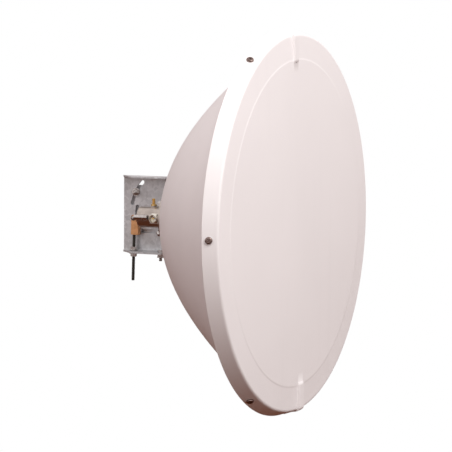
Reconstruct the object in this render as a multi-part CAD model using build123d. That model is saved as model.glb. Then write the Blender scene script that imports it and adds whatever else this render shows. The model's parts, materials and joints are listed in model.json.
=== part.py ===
from build123d import *
import math
import os

# Dish antenna of an outdoor wireless bridge, on its tilting mast bracket.
# Millimetres. Origin on the mast's axis at the middle of the clamp, +Z up
# along the mast, the dish looking along -Y.

# ---------------------------------------------------------------- dish
dish_x = -106.0            # dish axis stands beside the mast
rim_y = -277.0             # back edge of the radome's skirt
radome_back_r = 340.0
radome_front_r = 331.3
skirt_depth = 26.7
radome_wall = 3.0
face_r = 288.0             # crease between the centre face and the outer ring
face_crown = 3.0
ring_rise = 2.4
rib_width = 20.0
rib_height = 4.6           # above the outer ring
rib_turn = 3.0             # degrees off the vertical
strip_height = 1.4         # where a rib runs on down the skirt
screw_turn = 0.8
vent_r = 284.0
four_f = 436.9             # four times the focal length of the bowl
vertex_depth = 215.7       # outer vertex of the bowl behind the rim's back edge
reflector_wall = 2.0
lip_r = 319.0
rim_screw_depth = 11.0     # screws forward of the skirt's back edge
rim_screw_count = 6

# ---------------------------------------------------------------- feed
hub_r = 18.5
hub_bore_r = 16.5
hub_rear = 279.0           # behind the rim's back edge, along the dish axis
short_thickness = 3.0
hub_flange_r = 44.0
hub_flange_front = 200.0
feed_mouth = 118.0
subreflector_r = 42.0
connector_y = -36.5
connector_square = 17.5
tuning_y = -24.2
barrel_r = 4.65
barrel_x = -129.4
barrel_flat = 3.6          # from the barrel's axis to its seat

# ---------------------------------------------------------------- bracket on the dish
seat_plane = 222.0         # back of the seat ring, behind the rim's back edge
sheet = 3.0
seat_bolt_spread = 25.5    # seat bolts, each way from the dish axis
plate_x = -46.0            # outer face of the tilt plate
plate_rear = 65.2
plate_half = 70.0
flange_depth = 34.0
bend_r = 5.0
tab_bolt = (-32.0, 50.0)   # y, and z up and down

# ---------------------------------------------------------------- tilt geometry
pivot_y = -36.0
lock_slot_r = 86.0
lock_angle = 27.4
pin_slot_r = 75.0
pin_angle = -5.2
slot_half_span = 15.0
slot_width = 6.8
earth_slot = (4.0, 27.0)   # plain slot: the y of its two ends
earth_slot_z = -31.4
earth_y = -18.0            # bonding screw on the lower flange

# ---------------------------------------------------------------- mast side
mast_r = 27.0
clamp_half = 40.0
mast_plate_x = -39.0
mast_plate_t = 5.0
stud_y = 40.0
stud_z = 24.0
stud_end = 47.0

# ---------------------------------------------------------------- tilt adjuster
rod_x = -56.0
rod_top = -14.0
block_x = -61.0
block_depth = 10.0
pin_end = -63.8
rod_bottom = -121.5
rod_lean = 1.5             # degrees off the mast's line, lower end rearwards
rod_hole_play = 1.0
rod_hole_reach = 3.5
rod_r = 3.0
nut_gap = 0.8              # free play between the flange and the washers

seat_y = rim_y + seat_plane
plate_back = plate_x + sheet
mast_plate_back = mast_plate_x + mast_plate_t
earth_x = plate_x - 18.0


def polar(radius, angle):
    """Point y, z at an angle above the rearward line through the pivot."""
    a = math.radians(angle)
    return pivot_y + radius * math.cos(a), radius * math.sin(a)


lock_y, lock_z = polar(lock_slot_r, lock_angle)
pin_y, pin_z = polar(pin_slot_r, pin_angle)
rod_hole_y = pin_y + (plate_half + pin_z) * math.tan(math.radians(rod_lean))


# ---------------------------------------------------------------- helpers
def block(x0, x1, y0, y1, z0, z1):
    return Pos((x0 + x1) / 2, (y0 + y1) / 2, (z0 + z1) / 2) * Box(x1 - x0, y1 - y0, z1 - z0)


def rod_between(radius, axis, start, end, a, b):
    """Cylinder along X, Y or Z; a and b are its other two places, in order."""
    length = end - start
    middle = (start + end) / 2
    body = Cylinder(radius, length)
    if axis == "X":
        return Pos(middle, a, b) * Rot(0, 90, 0) * body
    if axis == "Y":
        return Pos(a, middle, b) * Rot(90, 0, 0) * body
    return Pos(a, b, middle) * body


def on_dish_axis(shape):
    """Local Z runs backwards along the dish axis from the rim's back edge."""
    return Pos(dish_x, rim_y, 0) * Rot(-90, 0, 0) * shape


def turned(*outline):
    """Solid of revolution about local Z from joined edges of radius and height."""
    face = make_face(Plane.XZ * (Curve() + list(outline)))
    return revolve(face, Axis.Z)


def turned_polygon(points):
    return turned(Polyline(*points, close=True))


def washer(outer_r, inner_r, thickness):
    """Stands on local z 0."""
    body = Cylinder(outer_r, thickness) - Cylinder(inner_r, thickness * 3)
    return Pos(0, 0, thickness / 2) * body


def hex_body(across_flats, height):
    """Hexagon with its corners turned off, standing on local z 0."""
    corner_r = across_flats / math.sqrt(3)
    prism = extrude(RegularPolygon(corner_r, 6), height)
    blank = Pos(0, 0, height / 2) * Cylinder(corner_r, height)
    blank = chamfer(blank.edges().filter_by(GeomType.CIRCLE), across_flats * 0.06)
    return prism & blank


def hex_nut(size, across_flats, height, play=0.0):
    return hex_body(across_flats, height) - Cylinder(size / 2 + play, height * 3)


def hex_bolt(size, across_flats, head, length):
    """Head stands on local z 0, the shank hangs below it."""
    shank = Pos(0, 0, -length / 2) * Cylinder(size / 2, length)
    return hex_body(across_flats, head) + shank


def cap_screw(size, length):
    """Socket screw: head above local z 0, shank below."""
    head = Pos(0, 0, size / 2) * Cylinder(size * 0.83, size)
    head = chamfer(head.edges().sort_by(Axis.Z)[-1:], size * 0.08)
    socket = Pos(0, 0, size * 0.5) * extrude(RegularPolygon(size * 0.48, 6), size)
    shank = Pos(0, 0, -length / 2) * Cylinder(size / 2, length)
    return head - socket + shank


def pan_screw(size, length, head_r, head):
    """Low round head with a cross recess above local z 0, shank below."""
    cap = Pos(0, 0, head / 2) * Cylinder(head_r, head)
    cap = fillet(cap.edges().sort_by(Axis.Z)[-1:], head * 0.6)
    slot = Pos(0, 0, head) * Box(head_r * 1.1, head_r * 0.22, head)
    cross = slot + Rot(0, 0, 90) * slot
    shank = Pos(0, 0, -length / 2) * Cylinder(size / 2, length)
    return cap - cross + shank


def arc_slot(radius, middle_angle, half_span, width):
    """Slot along an arc about the pivot, cut through the tilt plate."""
    start = middle_angle - half_span
    line = CenterArc((pivot_y, 0), radius, start, 2 * half_span)
    sketch = SlotArc(line, width)
    return Pos(plate_x - 5, 0, 0) * extrude(Plane.YZ * sketch, 15)


def group(shapes):
    return Compound(children=[Part(s.wrapped) for s in shapes])


# ---------------------------------------------------------------- reflector and radome
def bowl_curve(offset, r_start, r_end):
    """Paraboloid's section; the offset is measured square to the wall."""
    points = []
    for step in range(13):
        r = r_start + (r_end - r_start) * step / 12
        lift = offset * math.sqrt(1 + (2 * r / four_f) ** 2)
        points.append((r, vertex_depth - r * r / four_f + lift))
    return Spline(*points)


def skirt_r(height):
    """Outer radius of the radome's skirt at a height behind its back edge."""
    return radome_back_r + height * (radome_back_r - radome_front_r) / skirt_depth


def seat_bolt_places():
    return [(dx, dz) for dx in (-seat_bolt_spread, seat_bolt_spread)
            for dz in (-seat_bolt_spread, seat_bolt_spread)]


def drill_dish(shape, radius):
    """Holes for the seat bolts, all along the dish axis."""
    for dx, dz in seat_bolt_places():
        shape -= rod_between(radius, "Y", -200, 0, dish_x + dx, dz)
    return shape


def rim_places():
    """Places round the skirt for the screws, local Z square to its sloping wall."""
    slope = math.degrees(math.atan((radome_back_r - radome_front_r) / skirt_depth))
    radius = skirt_r(-rim_screw_depth)
    turns = [i * 360 / rim_screw_count - screw_turn for i in range(rim_screw_count)]
    return [Rot(0, 0, turn) * Pos(radius, 0, -rim_screw_depth) * Rot(0, 90 + slope, 0)
            for turn in turns]


def rib():
    """Half-round ridge across the top of the ring, running on down the skirt."""
    front = -skirt_depth
    half = rib_width / 2
    arc = ThreePointArc((-half, front), (0, front - ring_rise / 2 - rib_height), (half, front))
    section = make_face(Plane.XZ * (Curve() + [arc, Line((half, front), (-half, front))]))
    ridge = Pos(0, -face_r + 2.0, 0) * extrude(section, radome_front_r - face_r)
    slope = math.degrees(math.atan((radome_back_r - radome_front_r) / skirt_depth))
    middle = skirt_r(front / 2)
    length = skirt_depth / math.cos(math.radians(slope))
    strip = Box(rib_width, strip_height + 2.0, length)
    strip = Pos(0, -middle - strip_height / 2 + 1.0, front / 2) * Rot(slope, 0, 0) * strip
    return ridge + strip


def reflector():
    outer = bowl_curve(0, hub_r + 0.5, lip_r)
    inner = bowl_curve(-reflector_wall, lip_r - 0.9, hub_r + 0.5)
    lip_top = outer @ 1
    lip_low = inner @ 0
    back = -4.0
    out_gap = radome_wall + 0.3
    in_gap = out_gap + reflector_wall
    rim = Polyline(
        lip_top,
        (skirt_r(lip_top.Y) - in_gap, lip_top.Y),
        (skirt_r(back) - in_gap, back),
        (skirt_r(back) - out_gap, back),
        (skirt_r(lip_low.Y) - out_gap, lip_low.Y),
        lip_low,
    )
    shape = turned(outer, rim, inner, Line(inner @ 1, outer @ 0))
    for spot in rim_places():
        shape -= spot * Cylinder(3.3, 16)
    return drill_dish(on_dish_axis(shape), 3.3)


def radome():
    edge_r = 4.0
    front = -skirt_depth
    centre = front - ring_rise - face_crown
    outline = FilletPolyline(
        (radome_back_r, 0), (radome_front_r, front), (face_r, front - ring_rise), (0, centre),
        radius=(edge_r, 12.0))
    inside = Polyline(
        outline @ 1,
        (0, centre + radome_wall),
        (face_r, front - ring_rise + radome_wall),
        (skirt_r(front + radome_wall) - radome_wall, front + radome_wall),
        (radome_back_r - radome_wall, 0),
        outline @ 0,
    )
    shape = turned(outline, inside)
    for turn in (-rib_turn, 180 - rib_turn):
        shape += Rot(0, 0, turn) * rib()
    for spot in rim_places():
        shape -= spot * Cylinder(3.3, 16)
    vent = Rot(0, 0, -rib_turn) * Pos(0, -vent_r, front - 5) * Cylinder(2.5, 20)
    return on_dish_axis(shape - vent)


def vent_plug():
    top = -skirt_depth - ring_rise - 0.6
    body = Rot(0, 0, -rib_turn) * Pos(0, -vent_r, top + 2.0) * Cylinder(2.5, 4.0)
    return on_dish_axis(fillet(body.edges().sort_by(Axis.Z)[:1], 0.6))


def radome_screws():
    screw = Pos(0, 0, 0.1) * Rot(0, 0, 45) * pan_screw(6.0, 11.5, 6.3, 3.6)
    return group([on_dish_axis(spot * screw) for spot in rim_places()])


def radome_nuts():
    """Weld nuts inside the reflector's turned-back edge."""
    nut = Pos(0, 0, -10.2) * hex_nut(6.0, 10.0, 5.0)
    return group([on_dish_axis(spot * nut) for spot in rim_places()])


def rim_seal():
    low = -skirt_depth + radome_wall + 0.2
    top = vertex_depth - lip_r ** 2 / four_f - 2.4
    ring = [(lip_r + 1, low), (lip_r + 7.5, low), (lip_r + 7.5, top), (lip_r + 1, top)]
    return on_dish_axis(turned_polygon(ring))


# ---------------------------------------------------------------- feed
def feed_housing():
    """Waveguide body with the flange that carries it in the bowl."""
    rear = hub_rear - short_thickness
    tube = turned_polygon([
        (hub_bore_r, hub_flange_front), (hub_r, hub_flange_front),
        (hub_r, rear), (hub_bore_r, rear)])
    bowl = bowl_curve(-reflector_wall - 0.1, hub_r - 0.5, hub_flange_r)
    rim = Polyline(bowl @ 1, (hub_flange_r, hub_flange_front),
                   (hub_r - 0.5, hub_flange_front), bowl @ 0)
    shape = on_dish_axis(tube + turned(bowl, rim))
    pad_x = dish_x - hub_r - 2.0
    half = connector_square / 2 + 1.0
    shape += block(pad_x, dish_x - hub_bore_r - 0.3, connector_y - half,
                   connector_y + half, -half, half)
    shape += rod_between(5.5, "Z", hub_bore_r + 0.3, hub_r + 2.0, dish_x, tuning_y)
    shape += block(barrel_x + barrel_flat, dish_x - hub_bore_r - 0.3, -20.0, -1.4, -2.0, 4.0)
    shape -= rod_between(4.2, "X", pad_x - 5, dish_x, connector_y, 0)
    shape -= rod_between(3.0, "Z", 5, 40, dish_x, tuning_y)
    return drill_dish(shape, 3.2)


def side_barrel():
    """Hollow barrel that lies along the waveguide, open towards the dish."""
    body = rod_between(barrel_r, "Y", -23.0, 3.4, barrel_x, 1.0)
    body = chamfer(body.edges().filter_by(GeomType.CIRCLE), 0.5)
    body -= rod_between(2.4, "Y", -24.0, -12.0, barrel_x, 1.0)
    return body - block(barrel_x + barrel_flat, barrel_x + 10, -30, 10, -10, 10)


def feed_short():
    """Cap that closes the waveguide's rear end."""
    disc = Pos(0, 0, hub_rear - short_thickness / 2) * Cylinder(hub_r, short_thickness)
    disc = chamfer(disc.edges().sort_by(Axis.Z)[-1:], 0.8)
    return on_dish_axis(disc)


def feed_tube():
    ring = [(hub_bore_r, feed_mouth), (hub_r - 0.5, feed_mouth),
            (hub_r - 0.5, hub_flange_front - 0.1), (hub_bore_r, hub_flange_front - 0.1)]
    return on_dish_axis(turned_polygon(ring))


def feed_cone():
    """Low-loss plastic plug and cone that hold the splash plate."""
    outline = [(0, feed_mouth - 18), (subreflector_r - 4, feed_mouth - 18), (hub_r, feed_mouth - 0.2),
               (hub_bore_r - 0.1, feed_mouth - 0.2), (hub_bore_r - 0.1, feed_mouth + 14),
               (6, feed_mouth + 26), (0, feed_mouth + 26)]
    return on_dish_axis(turned_polygon(outline))


def subreflector():
    outline = [(0, feed_mouth - 22), (subreflector_r, feed_mouth - 22),
               (subreflector_r, feed_mouth - 18.1), (0, feed_mouth - 18.1)]
    return on_dish_axis(turned_polygon(outline))


def connector_base():
    return dish_x - hub_r - 2.0


def n_connector():
    """Round threaded socket on a square flange, facing sideways."""
    base = connector_base()
    half = connector_square / 2
    flange = block(base - 2.0, base, connector_y - half, connector_y + half, -half, half)
    flange = fillet(flange.edges().filter_by(Axis.X), 1.5)
    barrel = rod_between(7.9, "X", base - 11.0, base - 4.0, connector_y, 0)
    barrel = chamfer(barrel.edges().sort_by(Axis.X)[:1], 0.8)
    barrel += rod_between(6.5, "X", base - 4.5, base - 1.0, connector_y, 0)
    neck = rod_between(4.1, "X", base - 0.1, dish_x - hub_bore_r, connector_y, 0)
    shape = flange + barrel + neck
    shape -= rod_between(6.1, "X", base - 12, base - 3.5, connector_y, 0)
    shape -= rod_between(2.6, "X", base - 12, dish_x, connector_y, 0)
    for dy, dz in connector_screw_places():
        shape -= rod_between(1.5, "X", base - 4, base + 1, connector_y + dy, dz)
    return shape


def connector_screw_places():
    reach = connector_square / 2 - 2.3
    return [(dy, dz) for dy in (-reach, reach) for dz in (-reach, reach)]


def connector_screws():
    screw = pan_screw(2.6, 1.9, 2.0, 1.3)
    turn = Rot(0, -90, 0)
    base = connector_base() - 2.0
    return group([Pos(base, connector_y + dy, dz) * turn * screw
                  for dy, dz in connector_screw_places()])


def connector_insert():
    base = connector_base()
    body = rod_between(2.6, "X", base - 4.0, dish_x - hub_bore_r, connector_y, 0)
    return body - rod_between(0.8, "X", base - 12, dish_x, connector_y, 0)


def connector_pin():
    """Centre contact outside, launch probe inside the waveguide."""
    base = connector_base()
    tip = rod_between(1.5, "X", base - 8.5, base - 4.0, connector_y, 0)
    tip -= rod_between(0.8, "X", base - 9, base - 5.5, connector_y, 0)
    return tip + rod_between(0.8, "X", base - 4.1, dish_x - 5.0, connector_y, 0)


def tuning_screw():
    shank = rod_between(3.0, "Z", 9.0, 33.7, dish_x, tuning_y)
    shank = chamfer(shank.edges().sort_by(Axis.Z)[-1:], 0.6)
    return shank - block(dish_x - 4, dish_x + 4, tuning_y - 0.5, tuning_y + 0.5, 32.4, 35)


def tuning_nut():
    return Pos(dish_x, tuning_y, hub_r + 2.0) * hex_nut(6.0, 9.0, 3.0)


# ---------------------------------------------------------------- bracket on the dish
def seat_ring():
    """Cast pad that turns the curved bowl into a flat seat."""
    bowl = bowl_curve(0.1, hub_r + 1.5, 48.0)
    rest = Polyline(bowl @ 1, (48.0, seat_plane), (hub_r + 1.5, seat_plane), bowl @ 0)
    return drill_dish(on_dish_axis(turned(bowl, rest)), 3.3)


def dish_seat():
    """Sheet bracket: a web across the dish axis and two tabs bent back."""
    half = 64.0
    near = plate_x - sheet
    outline = Polyline(
        (plate_x, -half), (dish_x - 11, -half), (dish_x - 30, -28),
        (dish_x - 30, 28), (dish_x - 11, half), (plate_x, half), close=True)
    web = Pos(0, seat_y + sheet, 0) * extrude(Plane.XZ * make_face(outline), sheet)
    shape = web
    for side in (1, -1):
        tab = Polyline(
            (seat_y, side * 26), (-13.0, side * 26), (-22.0, side * half),
            (seat_y, side * half), close=True)
        shape += Pos(near, 0, 0) * extrude(Plane.YZ * make_face(tab), sheet)
    shape -= rod_between(hub_r + 1.0, "Y", seat_y - 5, seat_y + 10, dish_x, 0)
    for side in (1, -1):
        shape -= rod_between(3.3, "X", near - 5, near + 10, tab_bolt[0], side * tab_bolt[1])
    return drill_dish(shape, 3.3)


def seat_bolts():
    bolt = hex_bolt(6.0, 10.0, 4.0, 34.0)
    face = rim_y + hub_flange_front
    return group([Pos(dish_x + dx, face, dz) * Rot(90, 0, 0) * bolt
                  for dx, dz in seat_bolt_places()])


def seat_washers():
    ring = washer(6.0, 3.1, 1.6)
    return group([Pos(dish_x + dx, seat_y + sheet, dz) * Rot(-90, 0, 0) * ring
                  for dx, dz in seat_bolt_places()])


def seat_nuts():
    nut = hex_nut(6.0, 10.0, 5.0)
    return group([Pos(dish_x + dx, seat_y + sheet + 1.6, dz) * Rot(-90, 0, 0) * nut
                  for dx, dz in seat_bolt_places()])


def tilt_plate():
    """Flanged sheet with the two arc slots that set the tilt."""
    front = seat_y + sheet + 0.2
    open_x = plate_x - flange_depth
    outer = block(open_x, plate_back, front, plate_rear, -plate_half, plate_half)
    inner = block(open_x - 1, plate_x, front - 1, plate_rear + 1,
                  sheet - plate_half, plate_half - sheet)
    shape = outer - inner
    long_edges = shape.edges().filter_by(Axis.Y)
    shape = fillet([e for e in long_edges if e.center().X > plate_back - 0.1], bend_r)
    inner_z = plate_half - sheet
    corners = [e for e in shape.edges().filter_by(Axis.Y)
               if abs(e.center().X - plate_x) < 0.1 and abs(abs(e.center().Z) - inner_z) < 0.1]
    shape = fillet(corners, bend_r - sheet)
    rear_cut = Polyline(
        (open_x - 1, plate_rear + 1), (open_x - 1, 34.0), (open_x, 34.0),
        (plate_x - 3, plate_rear), (plate_x - 3, plate_rear + 1), close=True)
    front_cut = Polyline(
        (open_x - 1, front - 1), (open_x - 1, -26.0), (open_x, -26.0), (open_x + 6, -31.0),
        (plate_x - 3.5, -31.0), (plate_x - 3.5, front - 1), close=True)
    for cut in (rear_cut, front_cut):
        shape -= extrude(Pos(0, 0, -100) * make_face(cut), 200)
    low, high = plate_x - 5, plate_back + 5
    shape -= rod_between(4.1, "X", low, high, pivot_y, 0)
    shape -= arc_slot(lock_slot_r, lock_angle, slot_half_span, slot_width)
    shape -= arc_slot(pin_slot_r, pin_angle, slot_half_span, slot_width)
    slot_r = slot_width / 2
    shape -= block(low, high, *earth_slot, earth_slot_z - slot_r, earth_slot_z + slot_r)
    for end in earth_slot:
        shape -= rod_between(slot_r, "X", low, high, end, earth_slot_z)
    for side in (1, -1):
        shape -= rod_between(3.3, "X", low, high, tab_bolt[0], side * tab_bolt[1])
    low, high = -plate_half - 5, sheet - plate_half + 5
    hole_r = rod_r + rod_hole_play
    for shift in (-rod_hole_reach, rod_hole_reach):
        shape -= rod_between(hole_r, "Z", low, high, rod_x, rod_hole_y + shift)
    shape -= block(rod_x - hole_r, rod_x + hole_r, rod_hole_y - rod_hole_reach,
                   rod_hole_y + rod_hole_reach, low, high)
    return shape - rod_between(3.2, "Z", low, high, earth_x, earth_y)


def tab_bolts():
    bolt = hex_bolt(6.0, 10.0, 4.0, 10.0)
    head_x = plate_x - sheet
    return group([Pos(head_x, tab_bolt[0], side * tab_bolt[1]) * Rot(0, -90, 0) * bolt
                  for side in (1, -1)])


def tab_nuts():
    nut = hex_nut(6.0, 10.0, 3.2)
    return group([Pos(plate_back, tab_bolt[0], side * tab_bolt[1]) * Rot(0, 90, 0) * nut
                  for side in (1, -1)])


def earth_screw():
    """Bonding screw on the lower flange; its full-size tail takes the wire's lug."""
    top = sheet - plate_half
    tail_top = -plate_half - 6.6
    shape = Pos(earth_x, earth_y, top) * hex_bolt(5.2, 10.0, 4.0, top - tail_top)
    return shape + rod_between(3.0, "Z", tail_top - 6.4, tail_top, earth_x, earth_y)


def earth_nuts():
    low = -plate_half
    first = Pos(earth_x, earth_y, low - 5.0) * hex_nut(6.0, 10.0, 5.0)
    clip = Pos(earth_x, earth_y, low - 6.6) * washer(6.5, 3.0, 1.6)
    return group([first, clip])


# ---------------------------------------------------------------- mast side
def mast_plate():
    outline = Polyline(
        (-52, -36), (-52, 36), (-10, 42), (28, 52), (50, 52), (58, 40),
        (58, -24), (46, -38), (-20, -38), close=True)
    shape = Pos(mast_plate_x, 0, 0) * extrude(Plane.YZ * make_face(outline), mast_plate_t)
    shape = fillet(shape.edges().filter_by(Axis.X), 3.0)
    holes = [(pivot_y, 0, 4.0), (lock_y, lock_z, 3.0), (pin_y, pin_z, 3.0)]
    holes += [(y, z, 4.0) for y, z in stud_places()]
    for y, z, radius in holes:
        shape -= rod_between(radius, "X", mast_plate_x - 5, mast_plate_back + 5, y, z)
    return shape


def stud_places():
    return [(y, z) for y in (-stud_y, stud_y) for z in (-stud_z, stud_z)]


def clamp_half_body(x_far, x_near, ear_near):
    """Half clamp round the mast, with an ear for each stud."""
    shape = block(min(x_far, x_near), max(x_far, x_near), -33, 33, -clamp_half, clamp_half)
    shape = chamfer(shape.edges().filter_by(Axis.Z), 1.5)
    for y, z in stud_places():
        inner = 30.0 if y > 0 else -30.0
        outer = 50.0 if y > 0 else -50.0
        ear = block(min(x_far, ear_near), max(x_far, ear_near),
                    min(inner, outer), max(inner, outer), z - 9, z + 9)
        shape += fillet(ear.edges().filter_by(Axis.X).group_by(Axis.Y)[-1 if y > 0 else 0], 4.0)
        shape -= rod_between(4.2, "X", -60, 60, y, z)
    return shape - Cylinder(mast_r, clamp_half * 3)


def clamp_saddle():
    shape = clamp_half_body(mast_plate_back, -4.0, -20.0)
    return shape - block(-40, -22, -48, -26.0, -10.0, 10.0)


def clamp_jaw():
    return clamp_half_body(34.0, 4.0, 20.0)


def clamp_studs():
    return group([chamfer(s.edges().sort_by(Axis.X)[-1:], 0.8) for s in
                  [rod_between(4.0, "X", mast_plate_x, stud_end, y, z) for y, z in stud_places()]])


def clamp_washers():
    ring = washer(8.0, 4.1, 1.6)
    return group([Pos(34.0, y, z) * Rot(0, 90, 0) * ring for y, z in stud_places()])


def clamp_nuts():
    nut = hex_nut(8.0, 13.0, 6.8)
    return group([Pos(35.6, y, z) * Rot(0, 90, 0) * nut for y, z in stud_places()])


def pivot_bolt():
    head_x = plate_x - 0.3 - 1.6
    return Pos(head_x, pivot_y, 0) * Rot(0, -90, 0) * hex_bolt(8.0, 13.0, 5.3, -24.0 - head_x)


def pivot_washers():
    front = Pos(plate_x - 0.3, pivot_y, 0) * Rot(0, -90, 0) * washer(8.0, 4.1, 1.6)
    back = Pos(mast_plate_back, pivot_y, 0) * Rot(0, 90, 0) * washer(8.0, 4.1, 1.6)
    return group([front, back])


def pivot_nut():
    return Pos(mast_plate_back + 1.6, pivot_y, 0) * Rot(0, 90, 0) * hex_nut(8.0, 13.0, 6.5)


def friction_disc():
    """Packing disc that keeps the two plates apart round the pivot."""
    thickness = mast_plate_x - plate_back - 0.3
    return Pos(mast_plate_x, pivot_y, 0) * Rot(0, -90, 0) * washer(18.0, 4.1, thickness)


def lock_bolt():
    return Pos(mast_plate_back, lock_y, lock_z) * Rot(0, 90, 0) * hex_bolt(6.0, 10.0, 4.0, 25.0)


def lock_spacer():
    thickness = mast_plate_x - plate_back - 0.3
    return Pos(mast_plate_x, lock_y, lock_z) * Rot(0, -90, 0) * washer(6.5, 3.1, thickness)


def lock_washer():
    return Pos(plate_x - 0.3, lock_y, lock_z) * Rot(0, -90, 0) * washer(7.5, 3.1, 1.6)


def lock_nut():
    return Pos(plate_x - 1.9, lock_y, lock_z) * Rot(0, -90, 0) * hex_nut(6.0, 10.0, 5.0)


# ---------------------------------------------------------------- tilt adjuster
def leaned(shape):
    """Turns a shape about the swivel pin by the rod's lean."""
    return Pos(0, pin_y, pin_z) * Rot(rod_lean, 0, 0) * Pos(0, -pin_y, -pin_z) * shape


def swivel_pin():
    body = rod_between(3.0, "X", pin_end, mast_plate_back, pin_y, pin_z)
    body = fillet(body.edges().sort_by(Axis.X)[:1], 1.2)
    ring = rod_between(5.0, "X", pin_end + 1.2, pin_end + 2.2, pin_y, pin_z)
    return body - (ring - rod_between(2.4, "X", -70, -50, pin_y, pin_z))


def pin_clip():
    """Snap ring in the pin's groove."""
    ring = rod_between(4.6, "X", pin_end + 1.3, pin_end + 2.1, pin_y, pin_z)
    ring -= rod_between(2.45, "X", -70, -50, pin_y, pin_z)
    return ring - block(-70, -50, pin_y - 1.4, pin_y + 1.4, pin_z, pin_z + 8)


def pin_washer():
    return Pos(plate_x - 0.6, pin_y, pin_z) * Rot(0, -90, 0) * washer(5.5, 3.1, 1.6)


def swivel_block():
    """Block that hangs on the pin and holds the adjusting rod."""
    front, rear, low, high = 28.5, 43.4, -37.5, -13.0
    profile = Polyline((front, low), (rear, low), (rear, high), (front + 4.0, high),
                       (front, high - 12.0), close=True)
    body = Pos(block_x, 0, 0) * extrude(Plane.YZ * make_face(profile), block_depth)
    body = chamfer(body.edges().filter_by(Axis.Z), 0.8)
    ear = rod_between(5.6, "X", block_x, block_x + block_depth, pin_y, pin_z)
    neck = block(block_x, block_x + block_depth, 34.0, pin_y + 4.4, high - 2.0, pin_z + 1.0)
    shape = body + ear + neck - rod_between(3.05, "X", -80, 0, pin_y, pin_z)
    return leaned(shape - rod_between(rod_r, "Z", -50, rod_top, rod_x, pin_y))


def adjuster_rod():
    body = rod_between(rod_r, "Z", rod_bottom, rod_top, rod_x, pin_y)
    return leaned(chamfer(body.edges().sort_by(Axis.Z)[:1], 0.8))


def rod_stack(shape, upper, lower):
    """Two like pieces on the rod, one above the lower flange and one below it."""
    reach = (plate_half + pin_z) / math.cos(math.radians(rod_lean))
    level = pin_z - reach
    places = (level + sheet + nut_gap + upper, level - nut_gap - lower)
    return group([leaned(Pos(rod_x, pin_y, z) * shape) for z in places])


def adjuster_washers():
    return rod_stack(washer(8.0, rod_r + 0.05, 1.6), 0, 1.6)


def adjuster_nuts():
    return rod_stack(hex_nut(6.0, 10.0, 5.0, play=0.05), 1.6, 6.6)


pieces = {
    "reflector": reflector, "radome": radome, "vent_plug": vent_plug,
    "radome_screws": radome_screws, "radome_nuts": radome_nuts, "rim_seal": rim_seal,
    "feed_housing": feed_housing, "feed_short": feed_short, "feed_tube": feed_tube,
    "feed_cone": feed_cone, "subreflector": subreflector, "n_connector": n_connector,
    "connector_screws": connector_screws, "connector_insert": connector_insert,
    "connector_pin": connector_pin, "tuning_screw": tuning_screw, "tuning_nut": tuning_nut,
    "seat_ring": seat_ring, "dish_seat": dish_seat, "seat_bolts": seat_bolts,
    "seat_washers": seat_washers, "seat_nuts": seat_nuts, "tilt_plate": tilt_plate,
    "tab_bolts": tab_bolts, "tab_nuts": tab_nuts, "earth_screw": earth_screw,
    "earth_nuts": earth_nuts, "mast_plate": mast_plate, "clamp_saddle": clamp_saddle,
    "clamp_jaw": clamp_jaw, "clamp_studs": clamp_studs, "clamp_washers": clamp_washers,
    "clamp_nuts": clamp_nuts, "pivot_bolt": pivot_bolt, "pivot_washers": pivot_washers,
    "pivot_nut": pivot_nut, "friction_disc": friction_disc, "lock_bolt": lock_bolt,
    "lock_spacer": lock_spacer, "lock_washer": lock_washer, "lock_nut": lock_nut,
    "swivel_pin": swivel_pin, "pin_clip": pin_clip, "pin_washer": pin_washer,
    "swivel_block": swivel_block, "side_barrel": side_barrel,
    "adjuster_rod": adjuster_rod, "adjuster_washers": adjuster_washers,
    "adjuster_nuts": adjuster_nuts,
}

os.makedirs("parts", exist_ok=True)
for name, make in pieces.items():
    export_step(make(), f"parts/{name}.step")
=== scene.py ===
import json
import math

import bmesh
import bpy
import numpy as np
from bpy.props import FloatProperty, FloatVectorProperty, IntProperty, PointerProperty
from mathutils import Matrix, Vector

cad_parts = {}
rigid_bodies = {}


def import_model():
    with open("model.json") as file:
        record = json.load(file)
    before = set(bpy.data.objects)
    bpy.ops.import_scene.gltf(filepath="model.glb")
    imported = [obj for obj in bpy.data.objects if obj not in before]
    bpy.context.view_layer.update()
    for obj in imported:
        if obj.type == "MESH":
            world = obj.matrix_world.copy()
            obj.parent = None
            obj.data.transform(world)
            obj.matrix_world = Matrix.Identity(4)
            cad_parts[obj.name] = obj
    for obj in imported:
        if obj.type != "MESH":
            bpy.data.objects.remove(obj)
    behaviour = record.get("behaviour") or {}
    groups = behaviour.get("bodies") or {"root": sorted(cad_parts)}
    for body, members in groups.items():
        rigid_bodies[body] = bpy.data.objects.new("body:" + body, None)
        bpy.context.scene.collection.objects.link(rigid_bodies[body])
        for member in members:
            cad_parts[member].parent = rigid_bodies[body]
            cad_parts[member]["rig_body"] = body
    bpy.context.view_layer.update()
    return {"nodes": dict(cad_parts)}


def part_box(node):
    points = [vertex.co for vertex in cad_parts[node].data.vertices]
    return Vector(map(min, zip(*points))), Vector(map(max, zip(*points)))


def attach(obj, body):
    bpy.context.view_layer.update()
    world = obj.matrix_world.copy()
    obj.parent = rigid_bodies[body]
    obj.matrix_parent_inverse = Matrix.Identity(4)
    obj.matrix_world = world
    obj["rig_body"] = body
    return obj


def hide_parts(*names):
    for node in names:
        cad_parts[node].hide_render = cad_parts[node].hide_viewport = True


bl_info = {
    "name": "Covered dish on a tilting mast bracket",
    "version": (1, 0, 0),
    "blender": (4, 5, 0),
    "location": "3D View > Sidebar > Dish",
    "description": "Builds a covered dish, its feed, its tilting bracket and their fixings",
    "category": "Add Mesh",
}

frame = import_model()
nodes = frame["nodes"]

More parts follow.
